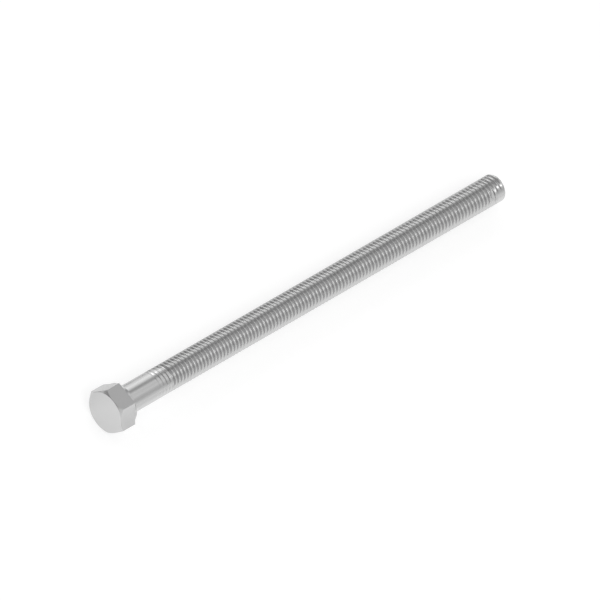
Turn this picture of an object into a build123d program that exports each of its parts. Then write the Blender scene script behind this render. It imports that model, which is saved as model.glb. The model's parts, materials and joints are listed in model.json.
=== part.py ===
"""Hex cap screw, 1/2-13 by 8 3/4 in, threaded almost to the head: one forged and rolled piece of steel.

Millimetres, +Z up. The origin is the centre of the bearing face under the head, and the shank runs
toward +X. The screw lies on one flat of its hexagon, with the point end on the floor.
"""
from build123d import *
from math import atan2, cos, degrees, pi, tan
import os

INCH = 25.4

# Head
ACROSS_FLATS = 0.75 * INCH        # spanner size
HEX_HEIGHT = 8.36                 # hexagon, from its back to its top
TOP_CIRCLE_D = 18.8               # flat circle that the chamfer leaves on top
TOP_CHAMFER_DEG = 40.0            # slope of the corner chamfer, from the top
CORNER_RADIUS = 0.35              # forged rounding of the six long edges
WASHER_FACE_D = 18.6              # turned bearing disc under the hexagon
WASHER_FACE_THICKNESS = 1.3

# Shank
LENGTH = 221.1                    # bearing face to point: 8 3/4 in, less its tolerance
BODY_D = 0.5 * INCH               # plain body, nominal diameter
UNDER_HEAD_FILLET = 0.8
BODY_END = 15.8                   # bearing face to the first thread groove
THREAD_D = 12.66                  # over the thread crests
THREAD_PITCH = INCH / 13
RUNOUT_PITCHES = 5                # the grooves deepen over this many turns
POINT_END_D = 10.86               # flat end of the point
POINT_LENGTH = 0.65               # point chamfer, along the axis

NODE = "hex_cap_screw"


def rest_tilt():
    """Angle that brings the back edge of the hexagon and the rim of the point onto one floor."""
    drop = (ACROSS_FLATS - THREAD_D) / 2
    run = LENGTH - POINT_LENGTH + WASHER_FACE_THICKNESS
    return degrees(atan2(drop, run))


def turned(points):
    """Solid of revolution about X, from a closed chain of (x, radius) points."""
    outline = Polyline(*[(x, 0, radius) for x, radius in points], close=True)
    return revolve(make_face(outline), Axis.X)


def hexagon():
    """The forged hexagon, one flat down, its top corners chamfered by a cone."""
    back = -WASHER_FACE_THICKNESS
    top = back - HEX_HEIGHT
    section = RegularPolygon(ACROSS_FLATS / 2, 6, major_radius=False)
    section = fillet(section.vertices(), CORNER_RADIUS)
    prism = extrude(Plane.YZ.offset(top) * section, HEX_HEIGHT)
    reach = ACROSS_FLATS
    flare = (reach - TOP_CIRCLE_D / 2) * tan(TOP_CHAMFER_DEG * pi / 180)
    cone = turned([(top, 0), (top, TOP_CIRCLE_D / 2), (top + flare, reach), (back, reach), (back, 0)])
    return prism & cone


def washer_face():
    """The disc that bears on the work."""
    radius = WASHER_FACE_D / 2
    back = -WASHER_FACE_THICKNESS
    return turned([(back, 0), (back, radius), (0, radius), (0, 0)])


def shank():
    """Fillet, plain body, thread at its crest diameter and the chamfered point."""
    body_r, thread_r, fillet_r = BODY_D / 2, THREAD_D / 2, UNDER_HEAD_FILLET
    full_thread = BODY_END + RUNOUT_PITCHES * THREAD_PITCH
    back = -WASHER_FACE_THICKNESS
    middle = fillet_r * (1 - cos(pi / 4))
    root = Polyline((back, 0, 0), (back, 0, body_r + fillet_r), (0, 0, body_r + fillet_r))
    sweep = ThreePointArc((0, 0, body_r + fillet_r), (middle, 0, body_r + middle), (fillet_r, 0, body_r))
    side = Polyline(
        (fillet_r, 0, body_r),
        (BODY_END, 0, body_r),
        (full_thread, 0, thread_r),
        (LENGTH - POINT_LENGTH, 0, thread_r),
        (LENGTH, 0, POINT_END_D / 2),
        (LENGTH, 0, 0),
        (back, 0, 0),
    )
    return revolve(make_face(root + sweep + side), Axis.X)


def hex_cap_screw():
    """The whole screw as it lies on the floor."""
    screw = hexagon() + washer_face() + shank()
    return Rot(0, rest_tilt(), 0) * screw


os.makedirs("parts", exist_ok=True)
export_step(hex_cap_screw(), f"parts/{NODE}.step")
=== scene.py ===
"""Hex cap screw: the real surface over the CAD solid, with its rolled thread, and the studio around it.

Metres, in the part's own frame. The surface is made in the screw's own axes, X from head to point,
and then laid down by the angle at which the screw rests. Angles round the screw start at +Y.
"""
import json
import math

import bpy
from mathutils import Matrix, Vector


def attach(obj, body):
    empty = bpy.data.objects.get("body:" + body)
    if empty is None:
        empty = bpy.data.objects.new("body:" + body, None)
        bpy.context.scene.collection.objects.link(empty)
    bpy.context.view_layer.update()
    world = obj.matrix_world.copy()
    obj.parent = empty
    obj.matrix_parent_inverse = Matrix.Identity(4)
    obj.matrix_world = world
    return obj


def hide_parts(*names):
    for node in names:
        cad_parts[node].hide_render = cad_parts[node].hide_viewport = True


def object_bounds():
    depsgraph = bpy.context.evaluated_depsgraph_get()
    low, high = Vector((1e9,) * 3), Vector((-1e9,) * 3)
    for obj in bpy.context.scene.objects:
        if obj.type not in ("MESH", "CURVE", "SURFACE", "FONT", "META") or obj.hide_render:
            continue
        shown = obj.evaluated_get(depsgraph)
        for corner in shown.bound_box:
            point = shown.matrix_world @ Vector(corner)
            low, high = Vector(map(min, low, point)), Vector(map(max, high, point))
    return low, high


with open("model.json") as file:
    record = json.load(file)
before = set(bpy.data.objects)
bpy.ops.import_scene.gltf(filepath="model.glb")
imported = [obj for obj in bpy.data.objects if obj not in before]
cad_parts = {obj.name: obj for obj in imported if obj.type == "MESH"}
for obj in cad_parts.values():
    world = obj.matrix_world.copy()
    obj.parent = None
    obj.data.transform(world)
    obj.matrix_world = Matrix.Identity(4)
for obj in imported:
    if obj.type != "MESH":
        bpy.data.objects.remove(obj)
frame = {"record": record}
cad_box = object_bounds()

NODE = "hex_cap_screw"
MM = 0.001
mounts = {mount["name"]: mount for mount in frame["record"]["mounts"]}
axis = mounts["bearing_face"]["axis"]
TILT = math.atan2(-axis[2], axis[0])
REST = Matrix.Rotation(TILT, 4, "Y")

# Head
ACROSS_FLATS = 19.05 * MM
HEX_HEIGHT = 8.36 * MM
TOP_CIRCLE_RADIUS = 9.4 * MM       # flat circle that the chamfer leaves on top
TOP_CHAMFER = math.radians(40)
CORNER_RADIUS = 0.35 * MM          # rounding of the long edges
EDGE_RADIUS = 0.1 * MM             # rounding of the other edges of the head
WASHER_FACE_RADIUS = 9.3 * MM
WASHER_FACE_THICKNESS = 1.3 * MM
UNDER_HEAD_FILLET = 0.8 * MM

# Shank
BODY_RADIUS = mounts["body"]["dims"]["r_mm"] * MM
THREAD_RADIUS = mounts["thread"]["dims"]["r_mm"] * MM
BODY_END = 15.8 * MM               # bearing face to the first groove
LENGTH = 221.1 * MM                # bearing face to the end of the point
PITCH = 25.4 / 13 * MM
POINT_LENGTH = 0.65 * MM
POINT_END_RADIUS = 5.43 * MM
POINT_ROUNDING = 0.8 * MM          # between the crests and the point's chamfer
POINT_EDGE = 0.08 * MM             # rounding of the flat end's rim
POINT_SLOPE = math.atan2(THREAD_RADIUS - POINT_END_RADIUS, POINT_LENGTH)

# Thread form: flanks 60 degrees apart, rounded crest and root
CREST_WIDTH = PITCH / 5
CREST_ROUNDING = 0.3 * MM
ROOT_RADIUS = 0.108 * PITCH
FLANK = math.radians(60)           # slope of a flank from the screw's axis
GROOVE_AT = BODY_END + 0.68 * PITCH

# Run-out at the body: faint tracks that deepen, in shares of the full groove's depth
RUNOUT = 5 * PITCH
DEEPENING = 0.8 * PITCH            # the last of the run-out, where the groove gets its full depth
TRACK_SHARE = 0.04                 # a track's depth at the body
TRACK_GAIN = 0.20                  # and what it gains over the run-out
PRESSED_SHARE = 0.08               # added on the side where the dies pressed harder
PRESSED_SIDE = math.radians(45)
PRESSED_SPREAD = 0.45, 0.8         # cosines from that side where it begins and where it is full
HARDEST_GAIN = 0.50                # gained over the run-out where they pressed hardest
HARDEST_SIDE = math.radians(10)
HARDEST_SPREAD = 0.5, 0.9

# Towards the point the grooves get shallow, and on one side they run out
POINT_FADE = 4.2 * MM, 9.4 * MM    # distances from the end where the fade is over and where it begins
POINT_SHARE = 0.6                  # depth that is left, off the side where they run out
RUN_OUT_SIDE = math.radians(93), math.radians(132)     # angles over which they run out
RUN_OUT_END = math.radians(290), math.radians(230)     # and from the other end of that side

# Facets
PER_SIDE = 12
CORNER_POINTS = 5
SEGMENTS = 6 * PER_SIDE
FILLET_STEPS = 6
POINT_STEPS = 4
CONE_ROWS = 4                      # rows of the head's profile that lie on its round top
MIDWAY = 0.3                       # share of a rounding's radius by which its middle row stays back
CHAMFER_SHARE = 0.45               # share of a narrow chamfer that a rounding may take
SAME_PLACE = 0.02 * MM             # a thread point this near to a ring falls on it

# Wear, which rubs the steel smoother
EDGE_WEAR = 1.0
CREST_WEAR = 0.6
SHOULDER_WEAR = 0.7
FLANK_WEAR = 0.3

# Satin steel
STEEL_LEVELS = 0.57, 0.61
STEEL_ROUGHNESS = 0.22, 0.29
WEAR_ROUGHNESS = -0.06             # change of roughness where the wear is full
PATCH_SCALE, PATCH_DETAIL = 160, 3
GRAIN_SCALE, GRAIN_DETAIL = 2600, 2
GRAIN_STRENGTH, GRAIN_DEPTH = 0.05, 0.05 * MM

# Brightness of the studio, by the angle in degrees above the floor on the screw's +Y side
STUDIO = [
    (-30, 0.85),
    (0, 0.97),
    (22, 1.22),
    (39, 1.08),
    (60, 0.40),
    (68, 0.42),
    (84, 0.95),
    (100, 0.80),
    (116, 0.92),
    (138, 0.63),
    (152, 0.62),
    (170, 0.88),
    (210, 0.95),
]
BRIGHTEST = 1.5                    # strength of the world, above every level in the studio

# Towards the head the studio's panels run out into a level that is darker on the far half
HEAD_SIDE = 0.1, -0.7              # parts along X of a direction, where it begins and where it is full
HEAD_SIDE_HALVES = 0.0, -0.45      # parts along Y, on the far half and on the near one
HEAD_SIDE_LEVELS = 0.35, 0.90
POINT_SIDE = 0.65, 0.88            # and towards the point they run out into one dark level
POINT_SIDE_LEVEL = 0.3
UNDER_FLOOR = -0.02                # below this the world is white, seen only in low views, past the floor

# Soft boxes: name, direction from the screw, width and brightness
SOFT_BOXES = [
    ("over_camera", (-0.40, -0.47, 0.80), 0.44, 1.8),
    ("far_side", (0.20, 0.82, 0.52), 0.40, 1.2),
]

# Folded screens: name, side, level of the folds that face the head, level of the others
SCREENS = [("far_screen", 1, 0.75, 0.24), ("near_screen", -1, 0.95, 0.77)]
SCREEN_Y, SCREEN_HEIGHT, SCREEN_FOLD = 25 * MM, 12 * MM, 4 * MM
SCREEN_FOLDS = 90
FOLDS_BEHIND = 15                  # folds on the head's side of the bearing face

# Floor
FLOOR_REACH = 20.0
FLOOR_COLOUR = 0.5
FLOOR_GLOW_SEEN = 0.65             # what the camera sees of its glow
FLOOR_GLOW_REFLECTED = 0.70, 0.60  # what metal sees, on the near side of the screw and on its far side, where it is lower as a painted shadow
# where the painted shadow in the floor's reflected glow begins and where it is full, out along Y
FAR_SIDE_PAINTED_SHADOW = 3 * MM, 12 * MM

# Camera
CAMERA_SPIN = math.radians(-30)    # round the screw, so that a corner of the hexagon is uppermost
CAMERA_RIGHT, CAMERA_UP = 75.50 * MM, 43.58 * MM    # middle of the view, from the back of the hexagon
CAMERA_WIDTH = 250.42 * MM
CAMERA_DISTANCE = 0.4
CAMERA_REACH = 10


class Skin:
    """Points with their true normals, and the faces between rings of them."""

    def __init__(self):
        self.places, self.normals, self.wear, self.faces = [], [], [], []

    def point(self, x, radius, angle, normal, normal_angle=None, wear=0.0):
        """A point at a distance x along the screw. normal is its (axial, radial, sideways) parts."""
        turn = angle if normal_angle is None else normal_angle
        axial, radial, sideways = normal
        y = radial * math.cos(turn) - sideways * math.sin(turn)
        z = radial * math.sin(turn) + sideways * math.cos(turn)
        self.places.append((x, radius * math.cos(angle), radius * math.sin(angle)))
        self.normals.append(Vector((axial, y, z)).normalized())
        self.wear.append(wear)
        return len(self.places) - 1

    def face(self, *corners):
        """A face, or nothing if its corners fall together."""
        corners = list(dict.fromkeys(corners))
        if len(corners) > 2:
            self.faces.append(corners)

    def band(self, near, far):
        """Faces between two rings, the first nearer to the head."""
        for j in range(len(near)):
            k = (j + 1) % len(near)
            self.face(near[j], near[k], far[k], far[j])

    def cap(self, centre, ring, at_point_end):
        """A flat end."""
        for j in range(len(ring)):
            k = (j + 1) % len(ring)
            pair = (ring[j], ring[k]) if at_point_end else (ring[k], ring[j])
            self.face(centre, *pair)

    def mesh(self, name, laid):
        """The finished Blender mesh, turned by the matrix laid."""
        mesh = bpy.data.meshes.new(name)
        mesh.from_pydata([laid @ Vector(place) for place in self.places], [], self.faces)
        mesh.shade_smooth()
        mesh.normals_split_custom_set_from_vertices([laid @ normal for normal in self.normals])
        worn = mesh.attributes.new("wear", "FLOAT", "POINT")
        worn.data.foreach_set("value", self.wear)
        return mesh


def ramp(x, start, end):
    """0 at start, 1 at end, and straight between."""
    return min(1.0, max(0.0, (x - start) / (end - start)))


def smooth(x, start, end):
    """0 at start, 1 at end, and between them a ramp that eases in and out."""
    t = ramp(x, start, end)
    return t * t * (3 - 2 * t)


def polar(slope):
    """Parts of a normal that leans by slope from the radial direction towards the point."""
    return math.sin(slope), math.cos(slope), 0.0


def ring_angles():
    """Angles of the turned rings, in step with the corners of the hexagon."""
    middle = CORNER_POINTS // 2
    return [math.tau * (j - middle) / SEGMENTS for j in range(SEGMENTS)]


def hex_outline():
    """The hexagon's section: (angle, radius, angle of the normal) of each point, one flat down."""
    outline = []
    half_side = math.radians(30)
    corner_centre = (ACROSS_FLATS / 2 - CORNER_RADIUS) / math.cos(half_side)
    for side in range(6):
        corner = math.radians(60 * side)
        arc = []
        for i in range(CORNER_POINTS):
            lean = corner + math.radians(-30 + 60 * i / (CORNER_POINTS - 1))
            y = corner_centre * math.cos(corner) + CORNER_RADIUS * math.cos(lean)
            z = corner_centre * math.sin(corner) + CORNER_RADIUS * math.sin(lean)
            arc.append((y, z, lean))
        start, flat = Vector(arc[-1][:2]), corner + half_side
        length = 2 * corner_centre * math.sin(half_side)
        along = Vector((-math.sin(flat), math.cos(flat)))
        steps = PER_SIDE - CORNER_POINTS + 1
        line = [start + along * length * i / steps for i in range(1, steps)]
        arc += [(p.x, p.y, flat) for p in line]
        outline += [(math.atan2(z, y), math.hypot(y, z), lean) for y, z, lean in arc]
    return outline


def head_profile(side_radius):
    """The head from its top to the back of the hexagon, at an angle where its side is that far out.

    Each row is (x, radius, lean of the normal, wear).
    """
    e = EDGE_RADIUS
    rise = math.tan(TOP_CHAMFER)
    back = -WASHER_FACE_THICKNESS
    top = back - HEX_HEIGHT
    brow = top + (side_radius - TOP_CIRCLE_RADIUS) * rise
    narrow = min(e, CHAMFER_SHARE * (side_radius - TOP_CIRCLE_RADIUS))
    up, cone, out, behind = math.radians(-90), TOP_CHAMFER - math.radians(90), 0.0, math.radians(90)
    return [
        (top, TOP_CIRCLE_RADIUS - narrow, up, 0.0),
        (top + 0.25 * narrow * rise, TOP_CIRCLE_RADIUS, (up + cone) / 2, EDGE_WEAR),
        (top + narrow * rise, TOP_CIRCLE_RADIUS + narrow, cone, 0.0),
        (brow - narrow * rise, side_radius - narrow, cone, 0.0),
        (brow + 0.1 * e, side_radius - MIDWAY * narrow, (cone + out) / 2, EDGE_WEAR),
        (brow + e, side_radius, out, 0.0),
        (back - e, side_radius, out, 0.0),
        (back - MIDWAY * e, side_radius - MIDWAY * e, behind / 2, EDGE_WEAR),
        (back, side_radius - e, behind, 0.0),
    ]


def add_head(skin):
    """The forged head. Returns its last ring, on the back of the hexagon."""
    outline = hex_outline()
    columns = [head_profile(radius) for _, radius, _ in outline]
    rings = []
    for row in range(len(columns[0])):
        ring = []
        for (angle, _, flat), column in zip(outline, columns):
            x, radius, lean, wear = column[row]
            normal_angle = None if row < CONE_ROWS else flat
            ring.append(skin.point(x, radius, angle, polar(lean), normal_angle, wear))
        rings.append(ring)
    top = -WASHER_FACE_THICKNESS - HEX_HEIGHT
    centre = skin.point(top, 0, 0, (-1, 0, 0))
    half = [skin.point(top, TOP_CIRCLE_RADIUS / 2, angle, (-1, 0, 0)) for angle, _, _ in outline]
    skin.cap(centre, half, at_point_end=False)
    for near, far in zip([half] + rings, rings):
        skin.band(near, far)
    return rings[-1]


def turned_profile():
    """(x, radius, lean of the normal, wear) of the washer face, the fillet and the plain body."""
    e = EDGE_RADIUS / 2
    back, rim, fillet = -WASHER_FACE_THICKNESS, WASHER_FACE_RADIUS, UNDER_HEAD_FILLET
    behind = math.radians(90)
    rows = [
        (back, rim + e / 2, behind, 0.0),
        (back + e / 2, rim, 0.0, 0.0),
        (-e, rim, 0.0, 0.0),
        (-MIDWAY * e, rim - MIDWAY * e, behind / 2, EDGE_WEAR),
        (0.0, rim - e, behind, 0.0),
    ]
    for i in range(FILLET_STEPS + 1):
        a = behind * i / FILLET_STEPS
        radius = BODY_RADIUS + fillet * (1 - math.sin(a))
        rows.append((fillet * (1 - math.cos(a)), radius, behind - a, 0.0))
    rows.append((BODY_END / 2, BODY_RADIUS, 0.0, 0.0))
    rows.append((BODY_END, BODY_RADIUS, 0.0, 0.0))
    return rows


def add_turned(skin, last):
    """The turned part under the head. Returns the ring where the thread starts."""
    for x, radius, lean, wear in turned_profile():
        ring = [skin.point(x, radius, angle, polar(lean), wear=wear) for angle in ring_angles()]
        skin.band(last, ring)
        last = ring
    return last


def thread_section():
    """One groove and its crest: (distance from the groove's middle, depth, slope, wear) of each row."""
    mouth = (PITCH - CREST_WIDTH) / 2
    steep = math.tan(FLANK)
    apex = mouth * steep
    root_end = ROOT_RADIUS * math.sin(FLANK)
    root_centre = apex - ROOT_RADIUS / math.cos(FLANK)
    half = FLANK / 2
    gentle = math.tan(half)
    root_middle = root_centre + ROOT_RADIUS * math.cos(half)
    edge = CREST_ROUNDING * gentle
    shoulder = mouth + edge - CREST_ROUNDING * math.sin(half)
    right = [
        (ROOT_RADIUS * math.sin(half), root_middle, gentle, 0.0),
        (root_end, apex - root_end * steep, steep, 0.0),
        (mouth - edge * math.cos(FLANK), edge * math.sin(FLANK), steep, FLANK_WEAR),
        (shoulder, CREST_ROUNDING * (1 - math.cos(half)), gentle, SHOULDER_WEAR),
        (mouth + edge, 0.0, 0.0, EDGE_WEAR),
    ]
    left = [(-d, depth, -slope, wear) for d, depth, slope, wear in reversed(right)]
    root = (0.0, root_centre + ROOT_RADIUS, 0.0, 0.0)
    return left + [root] + right + [(PITCH / 2, 0.0, 0.0, CREST_WEAR)]


def groove_share(x, angle):
    """How deep the groove is here, as a share of its full depth."""
    full = BODY_END + RUNOUT
    along = ramp(x, BODY_END, full)
    pressed = smooth(math.cos(angle - PRESSED_SIDE), *PRESSED_SPREAD)
    hardest = smooth(math.cos(angle - HARDEST_SIDE), *HARDEST_SPREAD)
    track = TRACK_GAIN * along ** 2 + HARDEST_GAIN * hardest * along
    track += (TRACK_SHARE + PRESSED_SHARE * pressed) * ramp(x, BODY_END, BODY_END + PITCH)
    share = max(track, ramp(x, full - DEEPENING, full))
    turn = angle % math.tau
    left = POINT_SHARE * (1 - smooth(turn, *RUN_OUT_SIDE) * smooth(turn, *RUN_OUT_END))
    return share * (left + (1 - left) * ramp(LENGTH - x, *POINT_FADE))


def groove_surface(x, angle, depth, slope):
    """Radius and normal where the full groove has that depth and slope."""
    share = groove_share(x, angle)
    blank = BODY_RADIUS + (THREAD_RADIUS - BODY_RADIUS) * ramp(x, BODY_END, BODY_END + RUNOUT)
    radius = blank - depth * share
    return radius, (-slope * share, 1.0, slope * share * PITCH / (math.tau * radius))


def section_at(section, x, angle):
    """Depth and slope of the full groove at a place on the screw."""
    offset = (x - GROOVE_AT - PITCH * angle / math.tau + PITCH / 2) % PITCH - PITCH / 2
    for (start, depth0, slope0, _), (end, depth1, slope1, _) in zip(section, section[1:]):
        if start <= offset <= end:
            t = (offset - start) / (end - start)
            return depth0 + (depth1 - depth0) * t, slope0 + (slope1 - slope0) * t
    return 0.0, 0.0


def point_profile():
    """(x, radius, lean of the normal, wear) of the point's rounding and chamfer."""
    arc_start = LENGTH - POINT_LENGTH - POINT_ROUNDING * math.tan(POINT_SLOPE / 2)
    rows = []
    for i in range(POINT_STEPS + 1):
        lean = POINT_SLOPE * i / POINT_STEPS
        x = arc_start + POINT_ROUNDING * math.sin(lean)
        fall = POINT_ROUNDING * (1 - math.cos(lean))
        rows.append((x, THREAD_RADIUS - fall, lean, i / POINT_STEPS))
    rim = POINT_END_RADIUS + POINT_EDGE * math.tan(POINT_SLOPE)
    rows.append((LENGTH - POINT_EDGE, rim, POINT_SLOPE, EDGE_WEAR))
    return rows


def add_point(skin):
    """The rounded and chamfered point, cut by the grooves. Returns its rings."""
    section = thread_section()
    rings = []
    for x, radius, lean, wear in point_profile():
        ring = []
        for angle in ring_angles():
            groove, normal = groove_surface(x, angle, *section_at(section, x, angle))
            if groove < radius:
                ring.append(skin.point(x, groove, angle, normal))
            else:
                ring.append(skin.point(x, radius, angle, polar(lean), wear=wear))
        rings.append(ring)
    for near, far in zip(rings, rings[1:]):
        skin.band(near, far)
    return rings


def add_thread(skin, first, last):
    """The helical thread, right-hand, from the ring at the body to the ring at the point."""
    angles = ring_angles()
    section = thread_section()
    rows = len(section)
    end = skin.places[last[0]][0]
    made = {}

    def corner(row, j):
        """The point where a row crosses an angle. After one turn a row goes on as the next turn's."""
        if j == SEGMENTS:
            row, j = row + rows, 0
        if (row, j) not in made:
            turn, k = divmod(row, rows)
            offset, depth, slope, wear = section[k]
            x = GROOVE_AT + PITCH * (turn + angles[j] / math.tau) + offset
            if x < BODY_END + SAME_PLACE:
                made[row, j] = first[j]
            elif x > end - SAME_PLACE:
                made[row, j] = last[j]
            else:
                radius, normal = groove_surface(x, angles[j], depth, slope)
                wear *= groove_share(x, angles[j])
                made[row, j] = skin.point(x, radius, angles[j], normal, wear=wear)
        return made[row, j]

    first_turn = math.floor((BODY_END - GROOVE_AT) / PITCH) - 2
    last_turn = math.ceil((LENGTH - GROOVE_AT) / PITCH) + 2
    for row in range(first_turn * rows, last_turn * rows):
        for j in range(SEGMENTS):
            skin.face(corner(row, j), corner(row, j + 1), corner(row + 1, j + 1), corner(row + 1, j))


def add_end(skin, rim):
    """The flat end of the point."""
    inner = []
    for index, angle in zip(rim, ring_angles()):
        _, y, z = skin.places[index]
        inner.append(skin.point(LENGTH, math.hypot(y, z) - POINT_EDGE, angle, (1, 0, 0)))
    skin.band(rim, inner)
    half = [skin.point(LENGTH, POINT_END_RADIUS / 2, angle, (1, 0, 0)) for angle in ring_angles()]
    skin.band(inner, half)
    skin.cap(skin.point(LENGTH, 0, 0, (1, 0, 0)), half, at_point_end=True)


def put(name, data):
    """A new object in the scene, from a mesh, a lamp or a camera."""
    made = bpy.data.objects.new(name, data)
    bpy.context.scene.collection.objects.link(made)
    return made


def make_screw():
    """The whole screw, lying as it rests."""
    skin = Skin()
    ring = add_turned(skin, add_head(skin))
    point = add_point(skin)
    add_thread(skin, ring, point[0])
    add_end(skin, point[-1])
    return put("hex_cap_screw_surface", skin.mesh("hex_cap_screw_surface", REST))


def grey(level):
    """An opaque grey."""
    return level, level, level, 1


def new_material(name):
    """A new material, with its node tree and its shader."""
    material = bpy.data.materials.new(name)
    material.use_nodes = True
    return material, material.node_tree, material.node_tree.nodes["Principled BSDF"]


def node(tree, kind, **settings):
    """A new shader node, with its properties set."""
    made = tree.nodes.new(kind)
    for name, value in settings.items():
        setattr(made, name, value)
    return made


def feed(tree, value, socket):
    """Gives a socket its value: another node's output, or a fixed one."""
    if isinstance(value, bpy.types.NodeSocket):
        tree.links.new(value, socket)
    else:
        socket.default_value = value


def maths(tree, operation, *values):
    """What a Math node makes of the values."""
    made = node(tree, "ShaderNodeMath", operation=operation)
    for value, socket in zip(values, made.inputs):
        feed(tree, value, socket)
    return made.outputs["Value"]


def blend(tree, share, first, second):
    """The first colour, mixed with that share of the second."""
    made = node(tree, "ShaderNodeMix", data_type="RGBA")
    feed(tree, share, made.inputs["Factor"])
    feed(tree, first, made.inputs["A"])
    feed(tree, second, made.inputs["B"])
    return made.outputs["Result"]


def between(tree, value, start, end, to=(0.0, 1.0), kind="SMOOTHSTEP"):
    """The value's place from start to end, given as a level from to[0] to to[1]."""
    made = node(tree, "ShaderNodeMapRange", interpolation_type=kind)
    made.inputs["From Min"].default_value = start
    made.inputs["From Max"].default_value = end
    made.inputs["To Min"].default_value = to[0]
    made.inputs["To Max"].default_value = to[1]
    feed(tree, value, made.inputs["Value"])
    return made.outputs["Result"]


def noise(tree, scale, detail):
    """Noise that keeps its place on the object."""
    made = node(tree, "ShaderNodeTexNoise")
    made.inputs["Scale"].default_value = scale
    made.inputs["Detail"].default_value = detail
    feed(tree, node(tree, "ShaderNodeTexCoord").outputs["Object"], made.inputs["Vector"])
    return made.outputs["Fac"]


def satin_steel():
    """Bright satin steel, a little uneven, with edges rubbed smoother."""
    material, tree, shader = new_material("satin_steel")
    shader.inputs["Metallic"].default_value = 1.0
    patches = noise(tree, PATCH_SCALE, PATCH_DETAIL)
    dark, light = STEEL_LEVELS
    feed(tree, blend(tree, patches, grey(dark), grey(light)), shader.inputs["Base Color"])
    gloss = between(tree, patches, 0.0, 1.0, to=STEEL_ROUGHNESS, kind="LINEAR")
    wear = node(tree, "ShaderNodeAttribute", attribute_name="wear").outputs["Fac"]
    feed(tree, maths(tree, "MULTIPLY_ADD", wear, WEAR_ROUGHNESS, gloss), shader.inputs["Roughness"])
    relief = node(tree, "ShaderNodeBump")
    relief.inputs["Strength"].default_value = GRAIN_STRENGTH
    relief.inputs["Distance"].default_value = GRAIN_DEPTH
    feed(tree, noise(tree, GRAIN_SCALE, GRAIN_DETAIL), relief.inputs["Height"])
    feed(tree, relief.outputs["Normal"], shader.inputs["Normal"])
    return material


def studio_panels(tree, y, z):
    """The colours of the panels, by the angle round the screw."""
    low, high = STUDIO[0][0], STUDIO[-1][0]
    turn = maths(tree, "ARCTAN2", z, y)
    share = between(tree, turn, math.radians(low), math.radians(high), kind="LINEAR")
    panels = node(tree, "ShaderNodeValToRGB")
    panels.color_ramp.interpolation = "EASE"
    stops = panels.color_ramp.elements
    while len(stops) < len(STUDIO):
        stops.new(0.5)
    for stop, (degrees, level) in zip(stops, STUDIO):
        stop.position = (degrees - low) / (high - low)
        stop.color = grey(level / BRIGHTEST)
    feed(tree, share, panels.inputs["Fac"])
    return panels.outputs["Color"]


def light_studio():
    """A soft studio: long panels of different brightness, parallel to the screw, all round it."""
    world = bpy.data.worlds.new("studio")
    bpy.context.scene.world = world
    world.use_nodes = True
    tree = world.node_tree
    towards = node(tree, "ShaderNodeSeparateXYZ")
    feed(tree, node(tree, "ShaderNodeTexCoord").outputs["Generated"], towards.inputs["Vector"])
    x, y, z = towards.outputs
    levels = [level / BRIGHTEST for level in HEAD_SIDE_LEVELS]
    at_head = between(tree, y, *HEAD_SIDE_HALVES, to=levels)
    colour = blend(tree, between(tree, x, *HEAD_SIDE), studio_panels(tree, y, z), at_head)
    colour = blend(tree, between(tree, x, *POINT_SIDE), colour, grey(POINT_SIDE_LEVEL / BRIGHTEST))
    colour = blend(tree, maths(tree, "LESS_THAN", z, UNDER_FLOOR), colour, grey(1 / BRIGHTEST))
    background = tree.nodes["Background"]
    background.inputs["Strength"].default_value = BRIGHTEST
    feed(tree, colour, background.inputs["Color"])


def hang_soft_boxes():
    """Square soft boxes a metre from the middle of the screw."""
    middle = Vector((LENGTH / 2, 0, 0))
    for name, direction, width, brightness in SOFT_BOXES:
        data = bpy.data.lights.new(name, "AREA")
        data.size = width
        data.energy = brightness * math.pi * width * width
        lamp = put(name, data)
        towards = Vector(direction).normalized()
        lamp.location = middle + towards
        lamp.rotation_euler = towards.to_track_quat("Z", "Y").to_euler()


def glow(name, level):
    """A surface that only gives off light, the same in every direction."""
    material, _, shader = new_material(name)
    shader.inputs["Base Color"].default_value = grey(0)
    shader.inputs["Specular IOR Level"].default_value = 0.0
    shader.inputs["Emission Color"].default_value = grey(1)
    shader.inputs["Emission Strength"].default_value = level
    return material


def stand_screens():
    """Low folded screens along both sides of the screw, which only reflections see.

    The folds are alternately light and dark, so a surface that leans to the head sees the dark ones.
    """
    low = cad_box[0][2]
    for name, side, light, dark in SCREENS:
        rail = []
        for i in range(SCREEN_FOLDS + 1):
            rail.append(((i - FOLDS_BEHIND) * SCREEN_FOLD, side * (SCREEN_Y + i % 2 * SCREEN_FOLD)))
        tops = [low + SCREEN_HEIGHT - math.tan(TILT) * x for x, _ in rail]
        points = [(x, y, low) for x, y in rail] + [(x, y, top) for (x, y), top in zip(rail, tops)]
        above = len(rail)
        faces = [(i, i + 1, i + 1 + above, i + above) for i in range(SCREEN_FOLDS)]
        mesh = bpy.data.meshes.new(name)
        mesh.from_pydata(points, [], faces)
        mesh.materials.append(glow(name + "_light", light))
        mesh.materials.append(glow(name + "_dark", dark))
        for i, polygon in enumerate(mesh.polygons):
            polygon.material_index = 1 - i % 2
        screen = put(name, mesh)
        screen.visible_camera = screen.visible_diffuse = screen.visible_shadow = False


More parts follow.
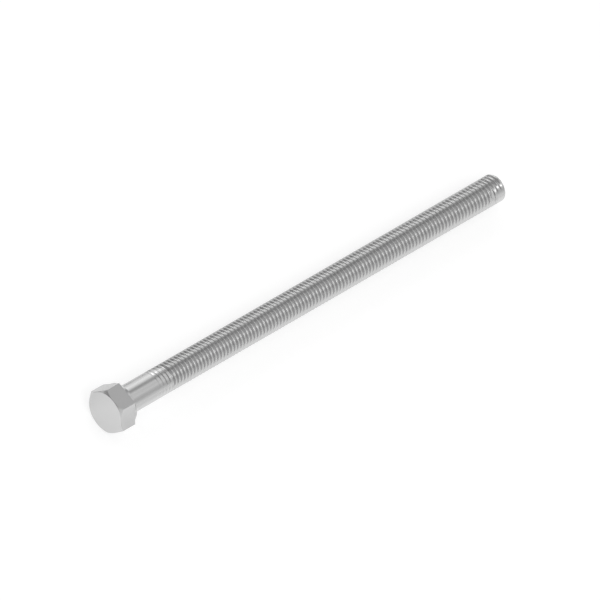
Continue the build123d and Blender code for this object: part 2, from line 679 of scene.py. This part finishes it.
def white_floor():
    """A matt white with a glow of its own, so that it stays white away from the screw's shadow. The glow
    that metal sees is lower on the screw's far side, a painted shadow.
    """
    material, tree, shader = new_material("white_floor")
    shader.inputs["Base Color"].default_value = grey(FLOOR_COLOUR)
    shader.inputs["Roughness"].default_value = 1.0
    shader.inputs["Specular IOR Level"].default_value = 0.0
    shader.inputs["Emission Color"].default_value = grey(1)
    ray = node(tree, "ShaderNodeLightPath").outputs
    place = node(tree, "ShaderNodeSeparateXYZ")
    feed(tree, node(tree, "ShaderNodeTexCoord").outputs["Object"], place.inputs["Vector"])
    in_metal = maths(tree, "MAXIMUM", ray["Is Glossy Ray"], ray["Is Transmission Ray"])
    # painted shadow: the glow that metal sees falls from the near level to the far one on the screw's far
    # side
    level = between(tree, place.outputs["Y"], *FAR_SIDE_PAINTED_SHADOW, to=FLOOR_GLOW_REFLECTED)
    reflected = maths(tree, "MULTIPLY", in_metal, level)
    strength = maths(tree, "MULTIPLY_ADD", ray["Is Camera Ray"], FLOOR_GLOW_SEEN, reflected)
    feed(tree, strength, shader.inputs["Emission Strength"])
    return material


def lay_floor():
    """A wide floor at the height on which the screw rests."""
    low, reach = cad_box[0][2], FLOOR_REACH
    mesh = bpy.data.meshes.new("floor")
    corners = [(-reach, -reach, low), (reach, -reach, low), (reach, reach, low), (-reach, reach, low)]
    mesh.from_pydata(corners, [], [(0, 1, 2, 3)])
    mesh.materials.append(white_floor())
    floor = put("floor", mesh)


def set_camera():
    """A parallel view, truly isometric to the screw, with its head at the lower left."""
    spin = Matrix.Rotation(CAMERA_SPIN, 4, "X")
    towards = REST @ spin @ Vector((-1, -1, 1)).normalized()
    up = REST @ spin @ Vector((1, 1, 2)).normalized()
    right = up.cross(towards)
    hex_back = REST @ Vector((-WASHER_FACE_THICKNESS, 0, 0))
    middle = hex_back + right * CAMERA_RIGHT + up * CAMERA_UP
    data = bpy.data.cameras.new("camera")
    data.type = "ORTHO"
    data.ortho_scale = CAMERA_WIDTH
    data.clip_end = CAMERA_REACH
    camera = put("camera", data)
    turn = Matrix((right, up, towards)).transposed().to_4x4()
    camera.matrix_world = Matrix.Translation(middle + towards * CAMERA_DISTANCE) @ turn
    bpy.context.scene.camera = camera


screw = make_screw()
screw.data.materials.append(satin_steel())
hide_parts(NODE)
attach(screw, "root")
light_studio()
hang_soft_boxes()
stand_screens()
lay_floor()
set_camera()
bpy.context.scene.view_settings.view_transform = "Standard"
